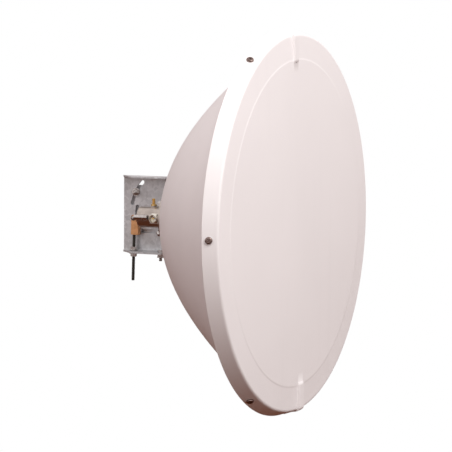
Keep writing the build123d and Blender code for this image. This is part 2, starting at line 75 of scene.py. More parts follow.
MM = 0.001
MERGE_STEPS = 5e5          # steps in a metre when doubled points are made one
FLAT_ANGLE = math.radians(0.6)
BEVEL_ANGLE = math.radians(38)
HEX_COLUMNS = 60
BAR_COLUMNS = 40
CHAMFER_SLOPE = math.tan(math.radians(30))


# ------------------------------------------------------------------ surfaces
def axes_along(direction, spin=0.0):
    """Rows of a turn: two directions square to the given one, then that one."""
    along = np.array(direction, float)
    along /= np.linalg.norm(along)
    helper = np.array((0.0, 0.0, 1.0) if abs(along[2]) < 0.9 else (0.0, 1.0, 0.0))
    side = np.cross(helper, along)
    side /= np.linalg.norm(side)
    up = np.cross(along, side)
    c, s = math.cos(spin), math.sin(spin)
    return np.array((c * side + s * up, c * up - s * side, along))


def place(grid, origin, direction, spin=0.0):
    """A grid's x, y and z laid along the three axes of a direction, from an origin."""
    return grid @ axes_along(direction, spin) + np.array(origin, float)


def round_angles(columns):
    """Even angles once round, the last one short of the first."""
    return np.arange(columns) * (2 * np.pi / columns)


def turned(radius, height, angles):
    """Round surface: x is radius times cosine, y radius times sine, z the height.
    Radius and height hold a value per row, or per row and angle."""
    radius = np.asarray(radius, float)
    height = np.asarray(height, float)
    radius = radius[:, None] if radius.ndim == 1 else radius
    height = height[:, None] if height.ndim == 1 else height
    flat = 0 * radius + 0 * height + 0 * angles
    return np.stack((radius * np.cos(angles) + flat, radius * np.sin(angles) + flat,
                     height + flat), axis=-1)


def rounded(points, radii, steps=5):
    """Straight runs through points, each inner corner eased by an arc-like curve.
    The curve runs from its radius before the corner to its radius after it, on the
    quadratic (1-t)^2 a + 2t(1-t) corner + t^2 b."""
    points = np.array(points, float)
    out = [points[:1]]
    t = np.linspace(0, 1, steps)[:, None]
    for before, corner, after, radius in zip(points, points[1:], points[2:], radii):
        a, b = before - corner, after - corner
        a *= min(radius / np.linalg.norm(a), 0.49)
        b *= min(radius / np.linalg.norm(b), 0.49)
        out.append(corner + a * (1 - t) ** 2 + b * t ** 2)
    return np.vstack((*out, points[-1:]))


def spread(line, count):
    """Count points at even distances along a line of points."""
    steps = np.linalg.norm(np.diff(line, axis=0), axis=1)
    run = np.concatenate(((0.0,), np.cumsum(steps)))
    want = np.linspace(0, run[-1], count)
    return np.stack([np.interp(want, run, line[:, i]) for i in range(line.shape[1])], -1)


def skin(grid, start=None, end=None, loop=False):
    """Points and faces of a grid that closes round its columns, facing outwards.
    A start or end point closes that end; loop joins the last row to the first."""
    rows, columns = grid.shape[:2]
    index = np.arange(rows * columns).reshape(rows, columns)
    low, high = (index, np.roll(index, -1, 0)) if loop else (index[:-1], index[1:])
    quads = np.stack((low, np.roll(low, -1, 1), np.roll(high, -1, 1), high), -1)
    quads = quads.reshape(-1, 4)
    points = grid.reshape(-1, 3)
    fans = [np.zeros((0, 3), int)]
    for pole, ring, turn in ((start, index[0], -1), (end, index[-1], 1)):
        if pole is not None:
            tip = np.full(columns, len(points))
            points = np.vstack((points, pole))
            fans.append(np.stack((tip, ring, np.roll(ring, -1)), -1)[:, ::turn])
    tris = np.vstack(fans)
    if volume(points, quads, tris) < 0:
        quads, tris = quads[:, ::-1], tris[:, ::-1]
    return points, quads, tris


def volume(points, quads, tris):
    """Sum of the signed boxes a.(b x c) of every triangle: positive if faces point out."""
    every = np.vstack((quads[:, :3], quads[:, (0, 2, 3)], tris))
    a, b, c = (points[every[:, i]] for i in range(3))
    return float(np.einsum("ij,ij->", a, np.cross(b, c)))


def make_piece(name, solids, node, finish, sharp=32.0):
    """One object from several skins, standing for a CAD node and riding on its body."""
    starts = np.cumsum([0] + [len(points) for points, _, _ in solids])
    points = np.vstack([s[0] for s in solids])
    quads = np.vstack([s[1] + n for s, n in zip(solids, starts)])
    tris = np.vstack([s[2] + n for s, n in zip(solids, starts)])
    mesh = bpy.data.meshes.new(name)
    mesh.vertices.add(len(points))
    mesh.vertices.foreach_set("co", points.astype(np.float32).ravel())
    corners = np.concatenate((quads.ravel(), tris.ravel()))
    mesh.loops.add(len(corners))
    mesh.loops.foreach_set("vertex_index", corners.astype(np.int32))
    firsts = np.concatenate((np.arange(len(quads)) * 4,
                             quads.size + np.arange(len(tris)) * 3))
    mesh.polygons.add(len(firsts))
    mesh.polygons.foreach_set("loop_start", firsts.astype(np.int32))
    mesh.update(calc_edges=True)
    mesh.validate()
    return dress(name, mesh, node, finish, sharp)


def dress(name, mesh, node, finish, sharp):
    """Gives a mesh smooth faces with sharp corners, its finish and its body."""
    mesh.shade_smooth()
    mesh.set_sharp_from_angle(angle=math.radians(sharp))
    mesh.materials.append(finish_of(finish))
    piece = bpy.data.objects.new(name, mesh)
    bpy.context.scene.collection.objects.link(piece)
    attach(piece, nodes[node]["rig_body"])
    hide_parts(node)
    return piece


def merged(node):
    """A CAD node's points and triangles with the doubled points made one."""
    source = nodes[node].data
    co = np.zeros(len(source.vertices) * 3, np.float32)
    source.vertices.foreach_get("co", co)
    corners = np.zeros(len(source.loops), np.int32)
    source.loops.foreach_get("vertex_index", corners)
    whole = np.round(co.reshape(-1, 3).astype(float) * MERGE_STEPS).astype(np.int64)
    _, first, back = np.unique(whole, axis=0, return_index=True, return_inverse=True)
    tris = back.ravel()[corners].reshape(-1, 3)
    a, b, c = tris.T
    return co.reshape(-1, 3)[first], tris[(a != b) & (b != c) & (c != a)]


def solid_boxes(node):
    """Lowest and highest corner of each separate solid in a CAD node.
    Each point takes the lowest label that its triangles reach, until none changes."""
    points, tris = merged(node)
    label = np.arange(len(points))
    while True:
        lowest = label[tris].min(axis=1)
        after = label.copy()
        for corner in tris.T:
            np.minimum.at(after, corner, lowest)
        after = after[after]
        if np.array_equal(after, label):
            break
        label = after
    return [(points[label == n].min(0), points[label == n].max(0)) for n in np.unique(label)]


def softened(name, node, finish, width, sharp=32.0):
    """A merged copy of a CAD node with its corners rounded by a narrow bevel."""
    points, tris = merged(node)
    mesh = bpy.data.meshes.new(name)
    mesh.from_pydata(points.tolist(), [], tris.tolist())
    work = bmesh.new()
    work.from_mesh(mesh)
    bmesh.ops.dissolve_limit(work, angle_limit=FLAT_ANGLE, verts=work.verts, edges=work.edges)
    work.to_mesh(mesh)
    work.free()
    piece = dress(name, mesh, node, finish, sharp)
    bevel = piece.modifiers.new("edges", "BEVEL")
    bevel.width = width
    bevel.segments = 2
    bevel.limit_method = "ANGLE"
    bevel.angle_limit = BEVEL_ANGLE
    bevel.harden_normals = True
    return piece


# ------------------------------------------------------------------ fasteners
def hex_radius(across, angles):
    """Distance from a hexagon's middle to its side at each angle."""
    return across / 2 / np.cos((angles + np.pi / 6) % (np.pi / 3) - np.pi / 6)


def thread_rows(radius, pitch, start, end, angles):
    """Screw thread: the radius falls by its depth between crests, and the crest climbs
    one pitch for each turn. It runs out at the start and is turned off at the end."""
    count = max(4, int(abs(end - start) / pitch * 8))
    height = np.linspace(start, end, count)[:, None]
    wave = np.abs(2 * ((height / pitch - angles / (2 * np.pi)) % 1.0) - 1)
    groove = np.clip(wave * 1.3 - 0.15, 0, 1) * pitch * 0.58
    groove = groove * np.clip(np.abs(height - start) / pitch, 0, 1)
    tip = radius - 0.7 * pitch + np.abs(end - height)
    return np.minimum(radius - groove, tip), height + 0 * angles


def hex_rows(across, height, both_ends):
    """Rows of a turned-off hexagon: the hexagon's side or the cone, whichever is nearer."""
    angles = round_angles(HEX_COLUMNS)
    flat = across * 0.475
    drop = (across / math.sqrt(3) - flat) * CHAMFER_SLOPE
    cut = np.linspace(0, drop, 5)
    level = np.concatenate((cut if both_ends else (0.0,), (height - cut)[::-1]))
    near = np.minimum(height - level, level) if both_ends else height - level
    cone = flat + near / CHAMFER_SLOPE
    return np.minimum(hex_radius(across, angles), cone[:, None]), level[:, None] + 0 * angles


def bolt_solid(across, head, size, pitch, length, threaded):
    """Hexagon head above z 0 and a shank below it, threaded at its lower end."""
    angles = round_angles(HEX_COLUMNS)
    head_r, head_z = hex_rows(across, head, False)
    neck = np.full((2, HEX_COLUMNS), size / 2)
    neck_z = np.array((0.0, threaded - length))[:, None] + 0 * angles
    thread_r, thread_z = thread_rows(size / 2, pitch, threaded - length, -length, angles)
    radius = np.vstack((head_r[::-1], neck, thread_r))
    level = np.vstack((head_z[::-1], neck_z, thread_z))
    grid = turned(radius, level, angles)
    return grid, (0, 0, head), (0, 0, -length)


def nut_solid(across, height, size):
    """Hexagon turned off at both ends, with a countersunk bore."""
    angles = round_angles(HEX_COLUMNS)
    outer_r, outer_z = hex_rows(across, height, True)
    ease = size * 0.07
    bore_r = np.array((size / 2 + ease, size / 2, size / 2, size / 2 + ease))[:, None]
    bore_z = np.array((height, height - ease, ease, 0.0))[:, None]
    radius = np.vstack((outer_r, bore_r + 0 * angles))
    level = np.vstack((outer_z, bore_z + 0 * angles))
    return turned(radius, level, angles)


def bolts(name, node, finish, direction, across, head, size, pitch, threaded):
    """Bolts where a CAD node's solids stand, heads towards a direction."""
    solids = []
    way = np.array(direction, float)
    for number, (low, high) in enumerate(solid_boxes(node)):
        reach = np.abs((high - low) @ way)
        middle = (low + high) / 2
        origin = middle + way * (reach / 2 - head)
        length = reach - head
        grid, top, tip = bolt_solid(across, head, size, pitch, length, min(threaded, length - MM))
        spin = 0.35 + 1.1 * number
        solids.append(skin(place(grid, origin, way, spin), place(np.array(top), origin, way),
                           place(np.array(tip), origin, way)))
    return make_piece(name, solids, node, finish)


def nuts(name, node, finish, direction, across, size):
    """Nuts where a CAD node's solids stand."""
    solids = []
    way = np.array(direction, float)
    for number, (low, high) in enumerate(solid_boxes(node)):
        reach = np.abs((high - low) @ way)
        origin = (low + high) / 2 - way * reach / 2
        grid = nut_solid(across, reach, size)
        solids.append(skin(place(grid, origin, way, 0.2 + 0.9 * number), loop=True))
    return make_piece(name, solids, node, finish)


def threaded_bar(name, node, finish, direction, pitch, plain):
    """Threaded bars where a CAD node's solids stand: plain first, then threaded to the tip."""
    solids = []
    way = np.array(direction, float)
    angles = round_angles(BAR_COLUMNS)
    for low, high in solid_boxes(node):
        extent = high - low
        reach = np.abs(extent @ way)
        radius = np.min(extent) / 2
        origin = (low + high) / 2 - way * reach / 2
        first_r = np.full((2, BAR_COLUMNS), radius)
        first_z = np.array((0.0, plain))[:, None] + 0 * angles
        thread_r, thread_z = thread_rows(radius, pitch, plain, reach, angles)
        grid = turned(np.vstack((first_r, thread_r)), np.vstack((first_z, thread_z)), angles)
        solids.append(skin(place(grid, origin, way), origin, origin + way * reach))
    return make_piece(name, solids, node, finish, sharp=50.0)


# ------------------------------------------------------------------ finishes
class Recipe:
    """A material's nodes, added and joined by short calls."""

    def __init__(self, name, metallic, roughness):
        self.material = bpy.data.materials.new(name)
        self.material.use_nodes = True
        self.tree = self.material.node_tree
        self.shader = self.tree.nodes["Principled BSDF"]
        self.shader.inputs["Metallic"].default_value = metallic
        self.shader.inputs["Roughness"].default_value = roughness
        self.where = self.add("ShaderNodeTexCoord").outputs["Object"]

    def add(self, kind, **inputs):
        node = self.tree.nodes.new(kind)
        for label, value in inputs.items():
            self.feed(node.inputs[label.replace("_", " ")], value)
        return node

    def feed(self, socket, value):
        if isinstance(value, bpy.types.NodeSocket):
            self.tree.links.new(value, socket)
        else:
            socket.default_value = value

    def stretched(self, scale):
        return self.add("ShaderNodeMapping", Vector=self.where, Scale=scale).outputs[0]

    def noise(self, scale, detail=3.0, stretch=None):
        spot = self.stretched(stretch) if stretch else self.where
        node = self.add("ShaderNodeTexNoise", Vector=spot, Scale=scale, Detail=detail)
        return node.outputs["Fac"]

    def cells(self, scale, output="Color"):
        node = self.add("ShaderNodeTexVoronoi", Vector=self.where, Scale=scale)
        return node.outputs[output]

    def span(self, source, low, high, to_low, to_high):
        node = self.add("ShaderNodeMapRange", Value=source)
        for label, value in (("From Min", low), ("From Max", high),
                             ("To Min", to_low), ("To Max", to_high)):
            node.inputs[label].default_value = value
        return node.outputs["Result"]

    def mix(self, factor, first, second):
        node = self.tree.nodes.new("ShaderNodeMix")
        node.data_type = "RGBA"
        for socket, value in ((node.inputs[0], factor), (node.inputs[6], first),
                              (node.inputs[7], second)):
            if isinstance(value, tuple) and len(value) == 3:
                value = (*value, 1.0)
            self.feed(socket, value)
        return node.outputs[2]

    def colour(self, value):
        self.feed(self.shader.inputs["Base Color"], value)

    def rough(self, value):
        self.feed(self.shader.inputs["Roughness"], value)

    def bump(self, height, strength, distance, under=None):
        node = self.add("ShaderNodeBump", Height=height, Strength=strength, Distance=distance)
        if under is not None:
            self.feed(node.inputs["Normal"], under)
        self.feed(self.shader.inputs["Normal"], node.outputs[0])
        return node.outputs[0]


def shade(colour, factor):
    return tuple(min(1.0, c * factor) for c in colour)


def radome_plastic(colour):
    """Vacuum-formed cover: fine pebbled grain, slow waviness, faint run-off streaks."""
    r = Recipe("radome_plastic", 0.0, 0.42)
    broad = r.span(r.noise(3.5), 0.35, 0.65, 0.0, 1.0)
    tint = r.mix(broad, shade(colour, 0.985), shade(colour, 1.01))
    streak = r.span(r.noise(1.0, 4.0, (38.0, 38.0, 2.2)), 0.56, 0.74, 0.0, 0.10)
    r.colour(r.mix(streak, tint, shade(colour, 0.86)))
    r.rough(r.span(r.noise(60.0), 0.3, 0.7, 0.38, 0.47))
    slow = r.bump(r.noise(9.0, 1.0), 0.12, 0.004)
    r.bump(r.noise(1500.0, 2.0), 0.18, 0.0001, slow)
    return r.material


def painted_reflector(colour):
    """Powder coat: small orange peel, a little dust in the lower gloss."""
    r = Recipe("painted_reflector", 0.0, 0.4)
    dust = r.span(r.noise(22.0, 5.0), 0.45, 0.75, 0.0, 0.16)
    r.colour(r.mix(dust, colour, shade(colour, 0.84)))
    r.rough(r.span(r.noise(45.0), 0.3, 0.7, 0.34, 0.46))
    r.bump(r.noise(520.0, 1.5), 0.22, 0.00025)
    return r.material


def galvanised_sheet(colour):
    """Hot-dip zinc: crystals a few millimetres across, each with its own grey and gloss."""
    r = Recipe("galvanised_sheet", 0.6, 0.45)
    crystal = r.cells(170.0)
    grey = r.span(crystal, 0.0, 1.0, 0.0, 1.0)
    fine = r.span(r.noise(420.0, 4.0), 0.3, 0.7, 0.0, 1.0)
    tone = r.mix(grey, shade(colour, 0.72), shade(colour, 1.18))
    tone = r.mix(r.span(fine, 0.0, 1.0, 0.0, 0.35), tone, shade(colour, 0.88))
    dull = r.span(r.noise(35.0, 5.0), 0.5, 0.72, 0.0, 0.55)
    r.colour(r.mix(dull, tone, (0.42, 0.40, 0.39)))
    r.rough(r.span(crystal, 0.0, 1.0, 0.30, 0.52))
    edge = r.bump(r.cells(170.0, "Distance"), 0.10, 0.0003)
    r.bump(r.noise(900.0, 2.0), 0.15, 0.0001, edge)
    return r.material


def bare_aluminium(colour):
    """Turned metal: fine tool lines square to the dish axis, slightly dulled."""
    r = Recipe("bare_aluminium", 0.95, 0.36)
    lines = r.noise(1.0, 3.0, (3.0, 2600.0, 3.0))
    cloud = r.span(r.noise(70.0, 4.0), 0.35, 0.7, 0.0, 1.0)
    r.colour(r.mix(cloud, colour, shade(colour, 0.80)))
    r.rough(r.span(cloud, 0.0, 1.0, 0.30, 0.46))
    r.bump(lines, 0.25, 0.00008)
    return r.material


def plated_metal(name, colour, metallic, low, high, dirt, dirt_share):
    """Plated or bright metal: fine handling marks and darker dirt in patches."""
    r = Recipe(name, metallic, low)
    marks = r.noise(1.0, 4.0, (900.0, 900.0, 140.0))
    patch = r.span(r.noise(160.0, 4.0), 0.48, 0.72, 0.0, dirt_share)
    tone = r.mix(r.span(marks, 0.3, 0.7, 0.0, 1.0), shade(colour, 0.92), shade(colour, 1.06))
    r.colour(r.mix(patch, tone, dirt))
    r.rough(r.span(marks, 0.3, 0.7, low, high))
    r.bump(marks, 0.12, 0.00005)
    return r.material


def moulded(name, colour, low, high, grain):
    """Plain moulding: a fine grain and slight unevenness of tone and gloss."""
    r = Recipe(name, 0.0, low)
    cloud = r.span(r.noise(90.0, 4.0), 0.3, 0.7, 0.0, 1.0)
    r.colour(r.mix(cloud, shade(colour, 0.93), shade(colour, 1.04)))
    r.rough(r.span(cloud, 0.0, 1.0, low, high))
    r.bump(r.noise(1800.0, 2.0), grain, 0.0001)
    return r.material


made_finishes = {}


def finish_of(slot):
    """The material for a slot, made the first time that it is asked for."""
    if slot not in made_finishes:
        made_finishes[slot] = FINISHES[slot](bpy.context.scene.dish_colours)
    return made_finishes[slot]


FINISHES = {
    "radome_plastic": lambda c: radome_plastic(tuple(c.cover)),
    "painted_reflector": lambda c: painted_reflector(tuple(c.paint)),
    "galvanised_sheet": lambda c: galvanised_sheet(tuple(c.zinc)),
    "bare_aluminium": lambda c: bare_aluminium(tuple(c.turned_metal)),
    "stainless_fixing": lambda c: plated_metal(
        "stainless_fixing", tuple(c.stainless), 1.0, 0.18, 0.34, (0.16, 0.12, 0.10), 0.5),
    "dark_threaded_rod": lambda c: plated_metal(
        "dark_threaded_rod", tuple(c.dark_rod), 0.4, 0.45, 0.6, (0.10, 0.07, 0.05), 0.6),
    # Skirt screws: stainless painted dark brown, a painted reflection standing in for the dark
    # surroundings they mirror
    "screws_painted_dark_reflection": lambda c: plated_metal(
        "screws_painted_dark_reflection", tuple(c.screw_painted_reflection), 0.9, 0.16, 0.3, (0.08, 0.05, 0.04), 0.5),
    "yellow_zinc": lambda c: plated_metal(
        "yellow_zinc", tuple(c.yellow_zinc), 0.75, 0.28, 0.42, (0.42, 0.20, 0.08), 0.45),
    "plated_brass": lambda c: plated_metal(
        "plated_brass", tuple(c.plated_brass), 0.9, 0.18, 0.32, (0.50, 0.42, 0.30), 0.3),
    "brass": lambda c: plated_metal(
        "brass", tuple(c.brass), 1.0, 0.2, 0.34, (0.40, 0.22, 0.08), 0.4),
    "gold_contact": lambda c: plated_metal(
        "gold_contact", tuple(c.gold), 1.0, 0.12, 0.22, (0.55, 0.34, 0.10), 0.2),
    "white_plastic": lambda c: moulded("white_plastic", (0.82, 0.80, 0.76), 0.3, 0.42, 0.08),
    "grey_plastic": lambda c: moulded("grey_plastic", (0.23, 0.22, 0.22), 0.4, 0.55, 0.15),
    "black_rubber": lambda c: moulded("black_rubber", (0.018, 0.017, 0.017), 0.6, 0.75, 0.3),
}


# ------------------------------------------------------------------ settings
class DishSizes(bpy.types.PropertyGroup):
    rib_width: FloatProperty(
        name="Rib width", description="Width of the two ribs on the cover's outer ring",
        default=0.020, min=0.005, max=0.05, unit="LENGTH")
    rib_blend: FloatProperty(
        name="Rib flank", description="How far a rib's flank runs down to the ring",
        default=0.0022, min=0.0005, max=0.01, unit="LENGTH")
    cover_columns: IntProperty(
        name="Cover columns", description="Even steps round the cover",
        default=360, min=90, max=720)
    sheet_edge: FloatProperty(
        name="Sheet edge", description="Rounding left on the edges of punched sheet",
        default=0.00045, min=0.0001, max=0.001, unit="LENGTH")
    casting_edge: FloatProperty(
        name="Casting edge", description="Rounding on turned and cast pieces",
        default=0.0005, min=0.0001, max=0.002, unit="LENGTH")


def colour_property(name, description, default):
    return FloatVectorProperty(name=name, description=description, default=default,
                               size=3, min=0.0, max=1.0, subtype="COLOR")


class DishColours(bpy.types.PropertyGroup):
    cover: colour_property("Cover", "Plastic of the cover", (0.92, 0.875, 0.87))
    paint: colour_property("Paint", "Powder coat on the reflector", (0.88, 0.805, 0.80))
    zinc: colour_property("Zinc", "Galvanised sheet", (0.66, 0.655, 0.67))
    turned_metal: colour_property("Turned metal", "Feed body", (0.56, 0.49, 0.44))
    stainless: colour_property("Stainless", "Screws and nuts", (0.58, 0.54, 0.52))
    # Dark brown here is painted reflection: the stainless screws' dark reflections painted into
    # their base colour
    screw_painted_reflection: colour_property("Screw colour with painted reflection", "Screws in the cover's skirt", (0.26, 0.19, 0.17))
    dark_rod: colour_property("Dark rod", "Adjusting rod", (0.09, 0.085, 0.075))
    yellow_zinc: colour_property("Yellow zinc", "Swivel block", (0.80, 0.42, 0.20))
    plated_brass: colour_property("Plated brass", "Connector body", (0.84, 0.80, 0.72))
    brass: colour_property("Brass", "Tuning screw", (0.80, 0.56, 0.24))
    gold: colour_property("Gold", "Contact", (0.90, 0.66, 0.28))


class StageSettings(bpy.types.PropertyGroup):
    azimuth: FloatProperty(
        name="Azimuth", description="Turn of the camera round the dish",
        default=math.radians(-65.6156), subtype="ANGLE", unit="ROTATION")
    elevation: FloatProperty(
        name="Elevation", description="Height of the camera above level",
        default=math.radians(4.7899), subtype="ANGLE", unit="ROTATION")
    roll: FloatProperty(
        name="Roll", description="Turn of the camera about its own line of sight",
        default=math.radians(0.2941), subtype="ANGLE", unit="ROTATION")
    distance: FloatProperty(
        name="Distance", description="From the camera to what it looks at",
        default=4.95485, min=1.0, unit="LENGTH")
    aim: FloatVectorProperty(
        name="Aim", description="Point in the middle of the view", size=3,
        default=(-0.14795, -0.18575, -0.00633), subtype="XYZ", unit="LENGTH")
    lens: FloatProperty(
        name="Lens", description="Focal length in millimetres on a 36 mm sensor",
        default=224.45, min=10.0)
    floor_height: FloatProperty(
        name="Floor", description="Height of the floor under the dish",
        default=-0.62, unit="LENGTH")
    softbox_power: FloatProperty(
        name="Softbox", description="Power of the large lamp in front and above",
        default=44.0, min=0.0, unit="POWER")
    sky: FloatProperty(
        name="Sky", description="Strength of the light from all round",
        default=1.16, min=0.0)


# ------------------------------------------------------------------ dish
def dish_grid(radius, height, angles):
    """Rows of radius and height carried round the dish axis, which runs along Y.
    X is the axis plus radius cosine, Z radius sine, Y the rim's back edge plus height."""
    low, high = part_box("radome")
    middle = (low + high) / 2
    flat = turned(radius, height, angles)
    return np.stack((middle.x + flat[..., 0], high.y + flat[..., 2],
                     middle.z + flat[..., 1]), axis=-1)


def dish_pole(height):
    low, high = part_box("radome")
    middle = (low + high) / 2
    return (middle.x, high.y + height, middle.z)


# Cover, in radius and in height from the back edge of its skirt.
BACK_R = 340.0 * MM
SKIRT_SLOPE = 8.7 / 26.7
EDGE_R = 331.3 * MM
FRONT = -26.7 * MM
FACE_R = 286.8 * MM
FACE = -29.4 * MM
RING_R = 288.6 * MM
RING = -28.9 * MM
CROWN = 3.0 * MM
WALL = 3.0 * MM
RIB_IN = 281.5 * MM
RIB_END = -16.0 * MM
RIB_TOP = -31.6 * MM
RIB_STRIP = 1.3 * MM
RIB_TURN = np.radians(3.0)


def skirt_r(height):
    return BACK_R + height * SKIRT_SLOPE


def crown(radius):
    """Height of the centre face: a shallow parabola from its middle to its edge."""
    return FACE - CROWN + CROWN * (radius / FACE_R) ** 2


class DISH_OT_cover(bpy.types.Operator):
    """Cover over the dish's mouth: crowned face, creased ring, two ribs and a skirt"""
    bl_idname = "dish.cover"
    bl_label = "Cover"

    def execute(self, context):
        sizes = context.scene.dish_sizes
        dense = np.radians(np.linspace(-4.0, 4.0, 81)) + RIB_TURN
        even = round_angles(sizes.cover_columns)
        near = np.minimum(np.abs(even - np.pi / 2 - RIB_TURN),
                          np.abs(even - 1.5 * np.pi - RIB_TURN))
        angles = np.sort(np.concatenate((even[near > np.radians(4.05)], dense + np.pi / 2,
                                         dense + 1.5 * np.pi)))
        face = np.linspace(0, RIB_IN, 18)[1:-1]
        bend = 4.0 * MM
        start = (RIB_IN, crown(RIB_IN))
        finish = (skirt_r(RIB_END), RIB_END)
        plain = rounded([start, (FACE_R, FACE), (RING_R, RING), (EDGE_R, FRONT), finish],
                        (1.2 * MM, 1.6 * MM, bend), 9)
        ridge = rounded([start, (FACE_R - 1.0 * MM, RIB_TOP), (EDGE_R - 1.0 * MM, RIB_TOP),
                         (EDGE_R + 2.0 * MM + RIB_STRIP, FRONT),
                         (finish[0] + RIB_STRIP, RIB_END)],
                        (2.0 * MM, 4.0 * MM, 5.0 * MM), 9)
        plain, ridge = spread(plain, 84), spread(ridge, 84)
        skirt = np.linspace(RIB_END, -1.0 * MM, 8)[1:]
        lip = rounded([(BACK_R - 0.3 * MM, -1.0 * MM), (BACK_R, 0), (BACK_R - WALL, 0),
                       (BACK_R - WALL - 0.3 * MM, -1.0 * MM)], (0.7 * MM, 0.7 * MM), 4)
        back = [(skirt_r(FRONT + WALL) - WALL, FRONT + WALL), (RING_R - 2 * MM, RING + WALL),
                (FACE_R - 2 * MM, FACE + WALL), (0, FACE - CROWN + WALL)]
        inside = spread(rounded([(lip[-1, 0], lip[-1, 1]), *back], (6 * MM, 2 * MM, 2 * MM)), 26)
        outside = np.vstack((np.stack((face, crown(face)), -1), plain,
                             np.stack((skirt_r(skirt), skirt), -1), lip, inside[1:-1]))
        lifted = outside.copy()
        crest = len(face) + len(ridge)
        lifted[len(face):crest] = ridge
        lifted[crest:crest + len(skirt) + len(lip) // 2, 0] += RIB_STRIP
        off = np.abs(outside[:, :1] * np.cos(angles - RIB_TURN))
        reach = (sizes.rib_width / 2 + sizes.rib_blend / 2 - off) / sizes.rib_blend
        share = np.clip(reach, 0, 1)
        share = share * share * (3 - 2 * share)
        radius = outside[:, :1] * (1 - share) + lifted[:, :1] * share
        height = outside[:, 1:] * (1 - share) + lifted[:, 1:] * share
        grid = dish_grid(radius, height, angles)
        solid = skin(grid, dish_pole(FACE - CROWN), dish_pole(FACE - CROWN + WALL))
        make_piece("cover", [solid], "radome", "radome_plastic", 40.0)
        return {"FINISHED"}


class DISH_OT_reflector(bpy.types.Operator):
    """Spun bowl with its edge turned out and back inside the cover's skirt"""
    bl_idname = "dish.reflector"
    bl_label = "Reflector"

    def execute(self, context):
        depth, spread_of_bowl, thick = 215.7 * MM, 436.9 * MM, 2.0 * MM
        radius = np.linspace(19 * MM, 319 * MM, 40)
        slope = np.sqrt(1 + (2 * radius / spread_of_bowl) ** 2)
        outer = np.stack((radius, depth - radius ** 2 / spread_of_bowl), -1)
        inner = np.stack((radius, outer[:, 1] - thick * slope), -1)
        top, low, back = outer[-1, 1], inner[-1, 1], -4.0 * MM
        out_gap = WALL + 0.3 * MM
        edge = rounded([outer[-1], (skirt_r(top) - out_gap - thick, top),
                        (skirt_r(back) - out_gap - thick, back),
                        (skirt_r(back) - out_gap, back), (skirt_r(low) - out_gap, low),
                        inner[-1]], (2.5 * MM, 0.9 * MM, 0.9 * MM, 3.5 * MM), 6)
        line = np.vstack((outer[:-1], edge, inner[-2::-1]))
        grid = dish_grid(line[:, 0], line[:, 1], round_angles(360))
        make_piece("bowl", [skin(grid, loop=True)], "reflector", "painted_reflector", 50.0)
        return {"FINISHED"}


class DISH_OT_cover_fixings(bpy.types.Operator):
    """Screws round the cover's skirt, their weld nuts, the drain plug and the seal"""
    bl_idname = "dish.cover_fixings"
    bl_label = "Cover fixings"

    def execute(self, context):
        screws = softened("rim_screws", "radome_screws", "stainless_fixing", 0.25 * MM)
        # Stainless screws switched to a dark brown finish, a painted reflection of their dark
        # surroundings
        screws.data.materials[0] = finish_of("screws_painted_dark_reflection")
        softened("rim_nuts", "radome_nuts", "stainless_fixing", 0.2 * MM)
        softened("drain_plug", "vent_plug", "grey_plastic", 0.15 * MM)
        show_node("rim_seal", "black_rubber")
        return {"FINISHED"}


def show_node(node, finish):
    """Leaves a CAD node in view and gives it its finish."""
    mesh = nodes[node].data
    if not mesh.materials:
        mesh.materials.append(None)
    for number in range(len(mesh.materials)):
        nodes[node].material_slots[number].material = finish_of(finish)


# ------------------------------------------------------------------ feed
class DISH_OT_feed(bpy.types.Operator):
    """Waveguide body, its end cap, tube, cone and splash plate"""
    bl_idname = "dish.feed"
    bl_label = "Feed"

    def execute(self, context):
        edge = context.scene.dish_sizes.casting_edge
        softened("feed_body", "feed_housing", "bare_aluminium", edge)
        softened("feed_cap", "feed_short", "bare_aluminium", edge)
        softened("splash_plate", "subreflector", "bare_aluminium", edge)
        show_node("feed_tube", "bare_aluminium")
        show_node("feed_cone", "white_plastic")
        return {"FINISHED"}


class DISH_OT_connector(bpy.types.Operator):
    """Coaxial socket on the feed body, with its screws, insert and contact"""
    bl_idname = "dish.connector"
    bl_label = "Connector"

    def execute(self, context):
        low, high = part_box("n_connector")
        half = (high.y - low.y) / 2
        centre = ((low.y + high.y) / 2, (low.z + high.z) / 2)
        tip = low.x
        back = tip + 11.0 * MM
        angles = round_angles(96)
        square = 1 / (np.abs(np.cos(angles)) ** 9 + np.abs(np.sin(angles)) ** 9) ** (1 / 9)
        soft = 0.3 * MM
        plate_z = np.array((0.0, soft, 2 * MM - soft, 2 * MM))
        plate_r = half * square * np.array((1 - soft / half, 1, 1, 1 - soft / half))[:, None]
        origin = (back, *centre)
        way = (-1, 0, 0)
        plate = place(turned(plate_r, plate_z, angles), origin, way)
        plate_top = place(np.array((0, 0, 2 * MM)), origin, way)
        flange = skin(plate, origin, plate_top)
        neck_z = np.array((1.9, 3.9, 4.2)) * MM
        neck_r = np.repeat(np.array((6.5, 6.5, 7.3))[:, None] * MM, 96, axis=1)
        thread_r, thread_z = thread_rows(7.9 * MM, 1.06 * MM, 4.4 * MM, 11 * MM, angles)
        bore_r = np.repeat(np.array((6.7, 6.1, 6.1, 2.7, 2.7))[:, None] * MM, 96, axis=1)
        bore_z = np.array((11.0, 10.4, 3.5, 3.5, 1.9)) * MM
        radius = np.vstack((neck_r, thread_r, bore_r))
        level = np.vstack((neck_z[:, None] + 0 * angles, thread_z, bore_z[:, None] + 0 * angles))
        barrel = skin(place(turned(radius, level, angles), origin, way), loop=True)
        make_piece("socket", [flange, barrel], "n_connector", "plated_brass", 45.0)
        softened("socket_screws", "connector_screws", "stainless_fixing", 0.1 * MM)
        show_node("connector_insert", "white_plastic")
        softened("contact", "connector_pin", "gold_contact", 0.1 * MM)
        softened("feed_barrel", "side_barrel", "stainless_fixing", 0.3 * MM)
        return {"FINISHED"}


